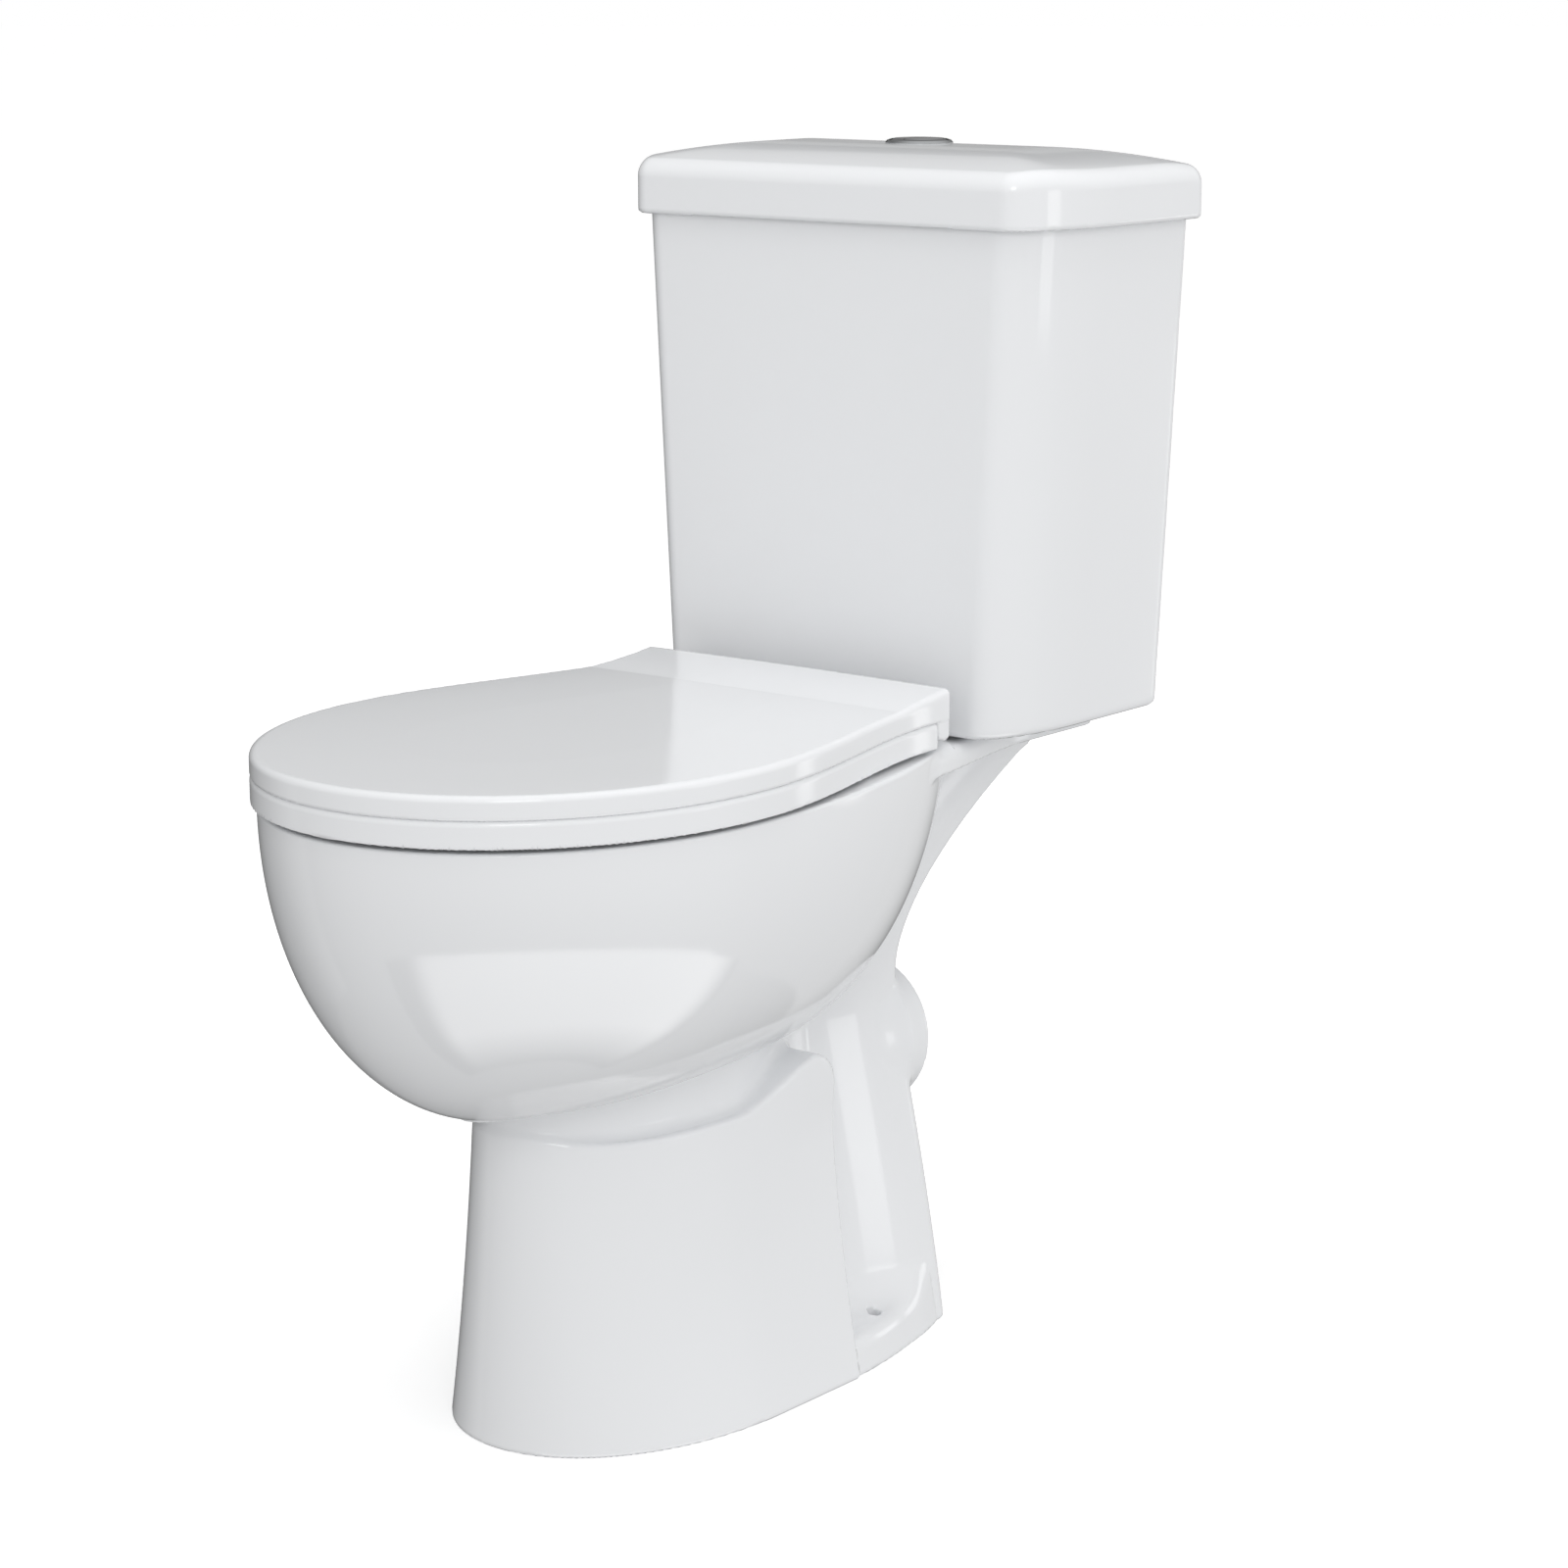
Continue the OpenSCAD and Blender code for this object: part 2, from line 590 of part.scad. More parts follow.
module flush_valve_base() {
    color("whitesmoke") translate([0, valve_y, 0]) difference() {
        union() {
            translate([0, 0, 396]) cylinder(r = 29, h = tank_floor_z - 396 + 3);
            translate([0, 0, tank_floor_z + 3]) cylinder(r = 38, h = 4);
            translate([0, 0, tank_floor_z + 7]) cylinder(r = 31, h = 10);
            for (a = [45 : 90 : 315]) rotate([0, 0, a])
                translate([32, -4, tank_floor_z + 6]) cube([5, 8, 36]);
        }
        translate([0, 0, 390]) cylinder(r = 25, h = 80);
    }
}

// Four-legged cage with a collar that guides the overflow tube
module flush_valve_tower() {
    z0 = tank_floor_z + 42;
    color("steelblue") translate([0, valve_y, z0]) difference() {
        union() {
            washer(38, 33, 8);
            translate([0, 0, 118]) washer(38, 16, 8);
            for (a = [45 : 90 : 315]) rotate([0, 0, a]) translate([33, -5, 0]) cube([5, 10, 120]);
        }
        translate([0, 0, -1]) cylinder(r = 16, h = 140);
    }
}

// Head of the flush valve, under the push rods
module flush_valve_cap() {
    z0 = tank_floor_z + 168;
    color("whitesmoke") translate([0, valve_y, z0]) difference() {
        union() {
            cylinder(r = 38, h = 5);
            translate([0, 0, 4]) cylinder(r = 24, h = 12);
        }
        translate([0, 0, -1]) cylinder(r = 16, h = 12);
    }
}

// Tube that lifts to flush
module overflow_tube() {
    color("whitesmoke") translate([0, valve_y, 0]) difference() {
        union() {
            translate([0, 0, tank_floor_z + 20]) cylinder(r = 13, h = 118);
            translate([0, 0, tank_floor_z + 20.5]) cylinder(r = 28, h = 4);
        }
        translate([0, 0, tank_floor_z + 10]) cylinder(r = 11, h = 140);
    }
}

module flush_seal() {
    color("dimgray") translate([0, valve_y, tank_floor_z + 17.3]) washer(30, 13.2, 3.1);
}

module flush_valve_washer() {
    color("dimgray") translate([0, valve_y, tank_floor_z]) washer(37, 29.2, 3);
}

module flush_valve_nut() {
    color("whitesmoke") translate([0, valve_y, 397]) difference() {
        cylinder(r = 37, h = 10);
        translate([0, 0, -1]) cylinder(r = 29.1, h = 12);
        for (a = [0 : 60 : 300]) rotate([0, 0, a]) translate([39, 0, -1]) cylinder(r = 5, h = 12);
    }
}

// ---------------------------------------------------------------- coupling

// Soft ring that seals the cistern to the pan
module coupling_gasket() {
    color("dimgray") translate([0, valve_y, 0]) rotate_extrude() polygon([
        [29.5, 392], [49.6, 392], [49.6, 405], [47, 407], [38, 407], [38, 396.6], [29.5, 396.6]]);
}

module coupling_plate() {
    color("silver") translate([0, valve_y, 407.2]) difference() {
        union() {
            cylinder(r = 44, h = 2.2);
            translate([-hinge_x, -12, 0]) cube([2 * hinge_x, 24, 2.2]);
            pair(hinge_x) cylinder(r = 12, h = 2.2);
        }
        translate([0, 0, -1]) cylinder(r = 29.4, h = 5);
        pair(hinge_x, 0, -1) cylinder(r = 3.3, h = 5);
    }
}

module coupling_bolts() {
    color("silver") pair(hinge_x, valve_y) {
        translate([0, 0, 409.5]) cylinder(r = 6.5, h = 4, $fn = 6);
        translate([0, 0, shelf_z - shelf_t + 1]) cylinder(r = 3, h = 18.5);
    }
}

module coupling_washers() {
    color("dimgray") pair(hinge_x, valve_y, shelf_z - 10) washer(11, 3.2, 2);
}

module coupling_nuts() {
    color("silver") pair(hinge_x, valve_y, shelf_z - 15) hex_nut(6.5, 3.05, 5);
}

// ---------------------------------------------------------------- fill valve

module at_fill_valve(z) {
    translate([fill_x, valve_y, z]) children();
}

module fill_valve_shank() {
    color("whitesmoke") difference() {
        union() {
            at_fill_valve(368) cylinder(r = 10.4, h = 28);
            at_fill_valve(396) cylinder(r = 10, h = 32);
            at_fill_valve(tank_floor_z + 3) cylinder(r = 14.5, h = 5);
            at_fill_valve(tank_floor_z + 7) cylinder(r = 9, h = 218);
        }
        at_fill_valve(360) cylinder(r = 7, h = 280);
    }
}

module fill_valve_head() {
    color("whitesmoke") union() {
        at_fill_valve(644.5) cylinder(r = 15, h = 26);
        at_fill_valve(670) cylinder(r = 19, h = 12);
        at_fill_valve(650) translate([10, -5, 0]) cube([22, 10, 10]);
        // fork that carries the arm
        at_fill_valve(660) translate([14, -8, 0]) cube([20, 4, 14]);
        at_fill_valve(660) translate([14, 4, 0]) cube([20, 4, 14]);
        at_fill_valve(667) translate([29, 0, 0]) rotate([90, 0, 0]) cylinder(r = 1.5, h = 16, center = true);
    }
}

// Cup that floats up round the shank
module fill_float() {
    color("lightskyblue") at_fill_valve(560) difference() {
        cylinder(r = 21.5, h = 62);
        translate([0, 0, -1]) cylinder(r = 10.5, h = 70);
        translate([0, 0, -1]) difference() {
            cylinder(r = 19.5, h = 55);
            cylinder(r = 12.5, h = 55);
        }
    }
}

module float_arm() {
    color("whitesmoke") at_fill_valve(667) translate([29, 0, 0]) difference() {
        union() {
            rotate([90, 0, 0]) cylinder(r = 4, h = 7, center = true);
            translate([-2, -2.5, -2.5]) cube([26, 5, 5]);
        }
        rotate([90, 0, 0]) cylinder(r = 1.55, h = 16, center = true);
    }
}

// Thin rod that joins the cup to the arm
module float_link() {
    color("whitesmoke") at_fill_valve(610) union() {
        translate([48, 0, 0]) cylinder(r = 1.5, h = 54);
        translate([21.6, -2, 2]) cube([26, 4, 3]);
    }
}

module fill_valve_washer() {
    color("dimgray") at_fill_valve(tank_floor_z) washer(14.5, 10.1, 3);
}

module fill_valve_nut() {
    color("whitesmoke") at_fill_valve(tank_z - 9) hex_nut(15, 10.05, 9);
}

// Bent tube from the fill valve's head over the overflow
module refill_tube() {
    color("whitesmoke") at_fill_valve(655) translate([0, -12, 0]) union() {
        translate([12.3, 0, 0]) rotate([0, 90, 0]) cylinder(r = 3, h = 79);
        translate([91.3, 0, 0]) sphere(r = 3);
        translate([91.3, 0, -56]) cylinder(r = 3, h = 56);
    }
}

pan();
seat_ring();
seat_cover();
ring_bumpers();
cover_bumpers();
hinge_posts();
hinge_pins();
hinge_bolts();
hinge_sleeves();
hinge_nuts();
cistern();
cistern_lid();
button_bezel();
button_housing();
housing_nut();
half_flush_button();
full_flush_button();
half_push_rod();
full_push_rod();
button_springs();
flush_valve_base();
flush_valve_tower();
flush_valve_cap();
overflow_tube();
flush_seal();
flush_valve_washer();
flush_valve_nut();
coupling_gasket();
coupling_plate();
coupling_bolts();
coupling_washers();
coupling_nuts();
fill_valve_shank();
fill_valve_head();
fill_float();
float_arm();
float_link();
fill_valve_washer();
fill_valve_nut();
refill_tube();
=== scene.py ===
"""Looks of a close coupled toilet: glazed pan, cistern and lid, moulded seat, chrome flush button.

The smooth pieces are modelled as distance fields in millimetres, in the CAD frame, and meshed by a
surface net whose points are then pulled onto the exact surface. Everything sits where the CAD says.
"""
import json
import math
import bpy
import numpy as np
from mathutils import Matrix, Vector


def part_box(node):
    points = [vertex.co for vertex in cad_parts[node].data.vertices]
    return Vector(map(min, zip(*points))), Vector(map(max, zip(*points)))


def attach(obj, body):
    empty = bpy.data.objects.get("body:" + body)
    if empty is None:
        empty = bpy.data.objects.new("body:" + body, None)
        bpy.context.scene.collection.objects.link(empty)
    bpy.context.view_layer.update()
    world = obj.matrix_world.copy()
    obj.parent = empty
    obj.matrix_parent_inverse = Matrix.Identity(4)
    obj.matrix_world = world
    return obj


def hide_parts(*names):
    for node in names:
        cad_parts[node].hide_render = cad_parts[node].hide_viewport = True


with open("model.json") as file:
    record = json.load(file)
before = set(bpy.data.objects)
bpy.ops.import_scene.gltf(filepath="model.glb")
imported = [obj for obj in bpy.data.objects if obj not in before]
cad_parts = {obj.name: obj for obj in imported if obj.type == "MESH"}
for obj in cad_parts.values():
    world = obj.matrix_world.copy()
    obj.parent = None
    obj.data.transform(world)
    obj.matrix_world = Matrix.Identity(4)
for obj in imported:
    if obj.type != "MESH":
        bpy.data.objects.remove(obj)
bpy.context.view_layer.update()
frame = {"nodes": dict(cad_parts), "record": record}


def box_mm(node):
    """Lowest and highest corner of a CAD node in millimetres."""
    low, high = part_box(node)
    return np.array(low) * 1000, np.array(high) * 1000


# ---------------------------------------------------------------- driving dimensions, mm

PAN_LOW, PAN_HIGH = box_mm("pan")
RING_LOW, RING_HIGH = box_mm("seat_ring")
COVER_LOW, COVER_HIGH = box_mm("seat_cover")
TANK_LOW, TANK_HIGH = box_mm("cistern")
LID_LOW, LID_HIGH = box_mm("cistern_lid")
BEZEL_LOW, BEZEL_HIGH = box_mm("button_bezel")
HINGE_LOW, HINGE_HIGH = box_mm("hinge_pins")

RIM_Z = PAN_HIGH[2]
SHELF_Z = 407.0
SHELF_T = 16.0
SHELF_REAR = PAN_HIGH[1]
STEP_Y = 128.0
BOWL_LOW_Z = 215.5
FRONT_Y = PAN_LOW[1]
BOWL_HALF = PAN_HIGH[0]
BASE_HALF = 105.0
FOOT_WIDE_Y = -34.5
FOOT_FRONT_Y = FOOT_WIDE_Y - 157
FOOT_REAR_Y = 181.0
SKIRT_REAR_Y = 46.0
NECK_FRONT_Y = -181.0
NECK_REAR_Y = 70.0
FOOT_EXPONENT = 2.1
SPIGOT_Z = 187.0
SPIGOT_R = 51.5
SPIGOT_END = 191.0
FLOOR_HOLE = (80.0, 91.0)

SEAT_HALF = COVER_HIGH[0]
SEAT_FRONT = COVER_LOW[1]
SEAT_REAR = COVER_HIGH[1]
SEAT_REAR_HALF = 125.5
SEAT_WIDE_Y = -128.0
SEAT_EXPONENT = 2.02
COVER_RISE = 6.6
HINGE_Y, HINGE_Z = (HINGE_LOW[1] + HINGE_HIGH[1]) / 2, (HINGE_LOW[2] + HINGE_HIGH[2]) / 2
HINGE_X = 78.0
NOTCH_HALF = 21.5
BARREL_R = 7.0

TANK_LOW_HALF = 148.0
TANK_WALL = 9.0
TANK_REAR = TANK_HIGH[1]
VALVE_Y = (BEZEL_LOW[1] + BEZEL_HIGH[1]) / 2
DOME_REACH = 86.0


# ---------------------------------------------------------------- field helpers

def mix(a, b, u):
    return a + (b - a) * u


def ease(u):
    u = np.clip(u, 0, 1)
    return u * u * (3 - 2 * u)


def join(a, b, r):
    """Union of two solids with a fillet of radius r."""
    if r <= 0:
        return np.minimum(a, b)
    u, v = np.maximum(r - a, 0), np.maximum(r - b, 0)
    return np.maximum(r, np.minimum(a, b)) - np.sqrt(u * u + v * v)


def keep(a, b, r):
    """Intersection of two solids with its edge rounded to radius r."""
    return -join(-a, -b, r)


def cut(a, b, r):
    """Solid a without solid b, with the edge rounded to radius r."""
    return keep(a, -b, r)


def superellipse(x, y, a, b, n):
    """Distance, to first order, to |x/a|^n + |y/b|^n = 1."""
    u, v = np.abs(x) / a + 1e-9, np.abs(y) / b + 1e-9
    q = (u ** n + v ** n) ** (1 / n)
    gx, gy = (u / q) ** (n - 1) / a, (v / q) ** (n - 1) / b
    return (q - 1) / np.sqrt(gx * gx + gy * gy)


def even(field, x, y, z, step=1.5):
    """A field whose section changes with height, scaled to a true distance near its surface."""
    d = field(x, y, z)
    slope = (field(x, y, z + step) - field(x, y, z - step)) / (2 * step)
    return d / np.sqrt(1 + slope * slope)


def box_field(x, y, z, low, high, r=0.0):
    """Box with rounded edges."""
    c = [(a + b) / 2 for a, b in zip(low, high)]
    h = [(b - a) / 2 - r for a, b in zip(low, high)]
    q = [np.abs(p - m) - k for p, m, k in zip((x, y, z), c, h)]
    outside = np.sqrt(sum(np.maximum(t, 0) ** 2 for t in q))
    return outside + np.minimum(np.maximum(np.maximum(q[0], q[1]), q[2]), 0) - r


def rod(u, v, w, r, low, high, edge=0.0):
    """Round bar of radius r along w, from low to high, with u and v measured from its axis."""
    return keep(np.sqrt(u * u + v * v) - r, np.maximum(low - w, w - high), edge)


# ---------------------------------------------------------------- meshing

def surface_net(field, low, high, step):
    """Quads and points of the zero surface of a field that is symmetric about x = 0."""
    nx = int(math.ceil(high[0] / step)) + 2
    xs = (np.arange(nx) + 0.5) * step
    ys = np.arange(low[1] - 2 * step, high[1] + 2.5 * step, step)
    zs = np.arange(low[2] - 2 * step, high[2] + 2.5 * step, step)
    half = np.empty((nx, len(ys), len(zs)), np.float32)
    for i, x in enumerate(xs):
        y, z = np.meshgrid(ys, zs, indexing="ij")
        half[i] = field(np.full_like(y, x), y, z)
    f = np.concatenate([half[::-1], half], 0)
    x0 = -xs[-1]
    s = f < 0
    corners = [(a, b, c) for a in (0, 1) for b in (0, 1) for c in (0, 1)]
    shape = tuple(n - 1 for n in f.shape)

    def part(array, o, size=shape):
        return array[o[0]:o[0] + size[0], o[1]:o[1] + size[1], o[2]:o[2] + size[2]]

    count = sum(part(s, o).astype(np.int8) for o in corners)
    active = (count > 0) & (count < 8)
    index = np.full(shape, -1, np.int64)
    cells = np.argwhere(active)
    index[active] = np.arange(len(cells))
    total = np.zeros((len(cells), 3))
    hits = np.zeros(len(cells))
    for axis in range(3):
        for a in (0, 1):
            for b in (0, 1):
                o = np.insert([a, b], axis, 0)
                p = cells + o
                q = p.copy()
                q[:, axis] += 1
                fp, fq = f[tuple(p.T)], f[tuple(q.T)]
                crossing = (fp < 0) != (fq < 0)
                t = np.where(crossing, fp / np.where(crossing, fp - fq, 1), 0)
                point = p.astype(float)
                point[:, axis] += t
                total += point * crossing[:, None]
                hits += crossing
    points = total / hits[:, None] * step + np.array([x0, ys[0], zs[0]])
    quads = []
    for axis in range(3):
        u, v = (axis + 1) % 3, (axis + 2) % 3
        size = np.array(f.shape)
        size[axis] -= 1
        a = s[tuple(slice(0, n) for n in size)]
        shift = [0, 0, 0]
        shift[axis] = 1
        b = s[tuple(slice(k, k + n) for k, n in zip(shift, size))]
        edges = np.argwhere(a != b)
        inside = a[tuple(edges.T)]
        ring = []
        for du, dv in ((-1, -1), (0, -1), (0, 0), (-1, 0)):
            c = edges.copy()
            c[:, u] += du
            c[:, v] += dv
            ring.append(index[tuple(c.T)])
        quad = np.stack(ring, 1)
        quad[~inside] = quad[~inside][:, ::-1]
        quads.append(quad)
    return points, np.concatenate(quads)


def gradient(field, p, h=0.25):
    g = np.empty_like(p)
    for k in range(3):
        a, b = p.copy(), p.copy()
        a[:, k] += h
        b[:, k] -= h
        g[:, k] = (field(*a.T) - field(*b.T)) / (2 * h)
    return g


def mesh_piece(name, field, low, high, step, body, material, *nodes):
    """Meshes a field, shades it with its own normals and stands it in for CAD nodes."""
    def whole(x, y, z):
        return field(np.abs(x), y, z)

    points, quads = surface_net(field, low, high, step)
    for _ in range(3):
        d = whole(*points.T)
        g = gradient(whole, points)
        size = np.maximum((g * g).sum(1), 0.05)
        move = -(d / size)[:, None] * g
        length = np.linalg.norm(move, axis=1)[:, None]
        points += move * np.minimum(1, step * 0.6 / np.maximum(length, 1e-9))
    normals = gradient(whole, points)
    normals /= np.maximum(np.linalg.norm(normals, axis=1), 1e-9)[:, None]
    mesh = bpy.data.meshes.new(name)
    mesh.vertices.add(len(points))
    mesh.vertices.foreach_set("co", (points / 1000).astype(np.float32).ravel())
    mesh.loops.add(len(quads) * 4)
    mesh.loops.foreach_set("vertex_index", quads.astype(np.int32).ravel())
    mesh.polygons.add(len(quads))
    mesh.polygons.foreach_set("loop_start", np.arange(0, len(quads) * 4, 4, dtype=np.int32))
    mesh.polygons.foreach_set("use_smooth", np.ones(len(quads), bool))
    mesh.update(calc_edges=True)
    mesh.validate()
    mesh.normals_split_custom_set_from_vertices([tuple(n) for n in normals])
    mesh.materials.append(material)
    piece = bpy.data.objects.new(name, mesh)
    bpy.context.scene.collection.objects.link(piece)
    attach(piece, body)
    if nodes:
        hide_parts(*nodes)
    print(name, len(points), "points", len(quads), "faces")
    return piece


# ---------------------------------------------------------------- materials

def new_material(name, **settings):
    """Node material with a Principled shader; settings are its sockets' values."""
    material = bpy.data.materials.new(name)
    material.use_nodes = True
    shader = material.node_tree.nodes["Principled BSDF"]
    for socket, value in settings.items():
        shader.inputs[socket.replace("_", " ")].default_value = value
    return material, shader


def rgb(r, g, b):
    return (r, g, b, 1)


def noise(material, scale, detail=2.0, distortion=0.0):
    """Noise in object coordinates, in features per metre."""
    nodes, links = material.node_tree.nodes, material.node_tree.links
    coordinates = nodes.new("ShaderNodeTexCoord")
    texture = nodes.new("ShaderNodeTexNoise")
    texture.inputs["Scale"].default_value = scale
    texture.inputs["Detail"].default_value = detail
    texture.inputs["Distortion"].default_value = distortion
    links.new(coordinates.outputs["Object"], texture.inputs["Vector"])
    return texture.outputs["Fac"]


def ramp(material, factor, low, high, start=0.3, end=0.7):
    """Maps a factor onto values or colours from low to high."""
    nodes, links = material.node_tree.nodes, material.node_tree.links
    node = nodes.new("ShaderNodeMapRange")
    node.inputs["From Min"].default_value = start
    node.inputs["From Max"].default_value = end
    if isinstance(low, tuple):
        blend = nodes.new("ShaderNodeMix")
        blend.data_type = "RGBA"
        blend.inputs["A"].default_value = low
        blend.inputs["B"].default_value = high
        links.new(factor, node.inputs["Value"])
        links.new(node.outputs["Result"], blend.inputs["Factor"])
        return blend.outputs["Result"]
    node.inputs["To Min"].default_value = low
    node.inputs["To Max"].default_value = high
    links.new(factor, node.inputs["Value"])
    return node.outputs["Result"]


def bump(material, shader, height, distance, strength=1.0):
    nodes, links = material.node_tree.nodes, material.node_tree.links
    node = nodes.new("ShaderNodeBump")
    node.inputs["Strength"].default_value = strength
    node.inputs["Distance"].default_value = distance
    links.new(height, node.inputs["Height"])
    links.new(node.outputs["Normal"], shader.inputs["Normal"])


def surface(name, colour, roughness, grain, tint=0.97, relief=0.0, relief_scale=200.0, **settings):
    """Material whose colour and roughness wander a little over the surface."""
    material, shader = new_material(name, **settings)
    links = material.node_tree.links
    darker = rgb(*(c * tint for c in colour))
    links.new(ramp(material, noise(material, grain), darker, rgb(*colour)), shader.inputs["Base Color"])
    links.new(ramp(material, noise(material, grain * 2.3), roughness[0], roughness[1]),
              shader.inputs["Roughness"])
    if relief:
        bump(material, shader, noise(material, relief_scale, 3.0), relief)
    return material


GLAZE = surface("glaze", (0.83, 0.84, 0.855), (0.075, 0.10), 6, tint=0.992, IOR=1.52)
SEAT_PLASTIC = surface("seat_plastic", (0.83, 0.84, 0.855), (0.10, 0.13), 9, tint=0.992, IOR=1.5)
CHROME = surface("chrome", (0.48, 0.49, 0.5), (0.04, 0.08), 40, tint=0.96, Metallic=1.0)
RUBBER = surface("black_rubber", (0.03, 0.03, 0.032), (0.5, 0.7), 60, relief=0.0002, relief_scale=900)
BUMPER = surface("bumper_plastic", (0.7, 0.71, 0.72), (0.35, 0.5), 60, relief=0.0001)
WHITE_FITTING = surface("white_fitting", (0.72, 0.73, 0.73), (0.3, 0.42), 30, relief=0.0001)
BLUE_FITTING = surface("blue_fitting", (0.03, 0.13, 0.32), (0.32, 0.45), 30, relief=0.0001)
STEEL = surface("zinc_steel", (0.55, 0.56, 0.57), (0.25, 0.4), 80, tint=0.85, Metallic=1.0)

SLOT_MATERIALS = {
    "vitreous_china": GLAZE, "seat_plastic": SEAT_PLASTIC, "bumper_plastic": BUMPER,
    "chrome": CHROME, "black_rubber": RUBBER, "white_fitting": WHITE_FITTING,
    "blue_fitting": BLUE_FITTING, "steel": STEEL,
}


def dress_cad_nodes():
    """Gives every carried-over CAD node the material of its slot."""
    slots = {s["node"]: s["material_slot"] for s in frame["record"]["subparts"]}
    for name, node in frame["nodes"].items():
        node.data.materials.clear()
        node.data.materials.append(SLOT_MATERIALS[slots[name]])


# ---------------------------------------------------------------- pan

def bowl_t(z):
    return np.clip((RIM_Z - z) / (RIM_Z - BOWL_LOW_Z), 0, 0.985)


def bowl_section(x, y, z):
    t = bowl_t(z)
    half = BOWL_HALF * (1 - t ** 2.23) ** (1 / 2.55)
    front = FRONT_Y + 137 * (1 - (1 - t ** 1.95) ** (1 / 2.23))
    rear = 210 - 142 * (1 - (1 - t ** 1.37) ** (1 / 1.83))
    wide = -127 + 11 * t
    length = np.where(y < wide, wide - front, rear - wide)
    return superellipse(x, y - wide, half, length, 2.0)


def well_section(x, y, z):
    t = np.clip((RIM_Z - 12 - z) / (RIM_Z - 12 - 232), 0, 0.98)
    half = 119 * (1 - t ** 2.4) ** 0.4
    front = -279 + 170 * (1 - (1 - t * t) ** 0.5)
    wide = -112 + 70 * t
    length = np.where(y < wide, wide - front, 38 + 4 * t - wide)
    return superellipse(x, y - wide, half, length, 2.05)


def skirt_half(z):
    return BASE_HALF - 0.2 * z + 0.00035 * z * z


def skirt_section(x, y, z, inset=0.0):
    half = skirt_half(z) + 5 * ease((z - 160) / 55) * ease((y + 45) / 60) - inset
    front = FOOT_FRONT_Y + 0.05 * z + inset
    curved = superellipse(x, np.minimum(y - FOOT_WIDE_Y, 0), half, FOOT_WIDE_Y - front, FOOT_EXPONENT)
    return np.where(y < FOOT_WIDE_Y, curved, x - half)


def skirt_crest(y):
    """Height of the skirt's upper edge: low along the side, humped near its rear end."""
    return 194.3 + 5.5 * (np.maximum(-110 - y, 0) / 68) ** 2 + 24.5 * ease((y + 48) / 78)


def skirt(x, y, z):
    side = even(skirt_section, x, y, z)
    above = (z - skirt_crest(y)) * 0.93
    top = keep(above, y - SKIRT_REAR_Y, 22)
    return keep(side, top, 3.0)


def neck(x, y, z):
    """Column between the skirt and the bowl, set back from the skirt's side."""
    half = skirt_half(np.minimum(z, 220)) - 14
    length = np.where(y < FOOT_WIDE_Y, FOOT_WIDE_Y - NECK_FRONT_Y, NECK_REAR_Y - FOOT_WIDE_Y)
    section = superellipse(x, y - FOOT_WIDE_Y, half, length, FOOT_EXPONENT)
    return keep(section, z - 250, 0)


def spine_half(z):
    u = (215 - z) / 215
    u = 0.5 * (u + np.sqrt(u * u + 0.006))
    return 36 + 44 * u * (1.27 - 0.27 * u) + 26 * (np.clip(z - 215, 0, 175) / 175) ** 1.6


def spine_rear(z):
    return np.minimum(179 + 145 * (np.clip(z - 240, 0, 150) / 150) ** 1.76, 300)


def spine(x, y, z):
    """Web behind the skirt: a shallow flute up each side that rises to a rounded rear ridge."""
    def section(x, y, z):
        rear = spine_rear(z)
        side = spine_half(z) - 10 + 10 * ease((y - rear + 92) / 60)
        return keep(x - side, y - rear, 14)

    return keep(keep(even(section, x, y, z), -62 - y, 8), z - (SHELF_Z - 8), 0)


def shelf_half(y):
    return mix(124, 99, ease((y - 70) / 170))


def shelf(x, y, z):
    outline = keep(x - shelf_half(y), y - SHELF_REAR, 16)
    low = SHELF_Z - SHELF_T - z
    top = np.where(y < STEP_Y, z - RIM_Z, z - SHELF_Z)
    plate = keep(keep(outline, top, 9), low, 2)
    return keep(plate, 58 - y, 4)


def foot_outline(x, y, z):
    side = x - (skirt_half(z) - 20.5 * (np.maximum(0, y - 20) / 132) ** 2)
    return keep(side, y - FOOT_REAR_Y, 24)


def foot(x, y, z):
    ledge = z - (24 + 0.16 * np.maximum(100 - x, 0))
    return keep(keep(foot_outline(x, y, z), FOOT_WIDE_Y - y, 0), ledge, 9)


def spigot(x, y, z):
    away = np.sqrt(x * x + (z - SPIGOT_Z) ** 2)
    cone = (away - mix(34, SPIGOT_R, np.clip((y - 130) / 42, 0, 1))) * 0.92
    return keep(keep(cone, y - SPIGOT_END, 3), 130 - y, 3)


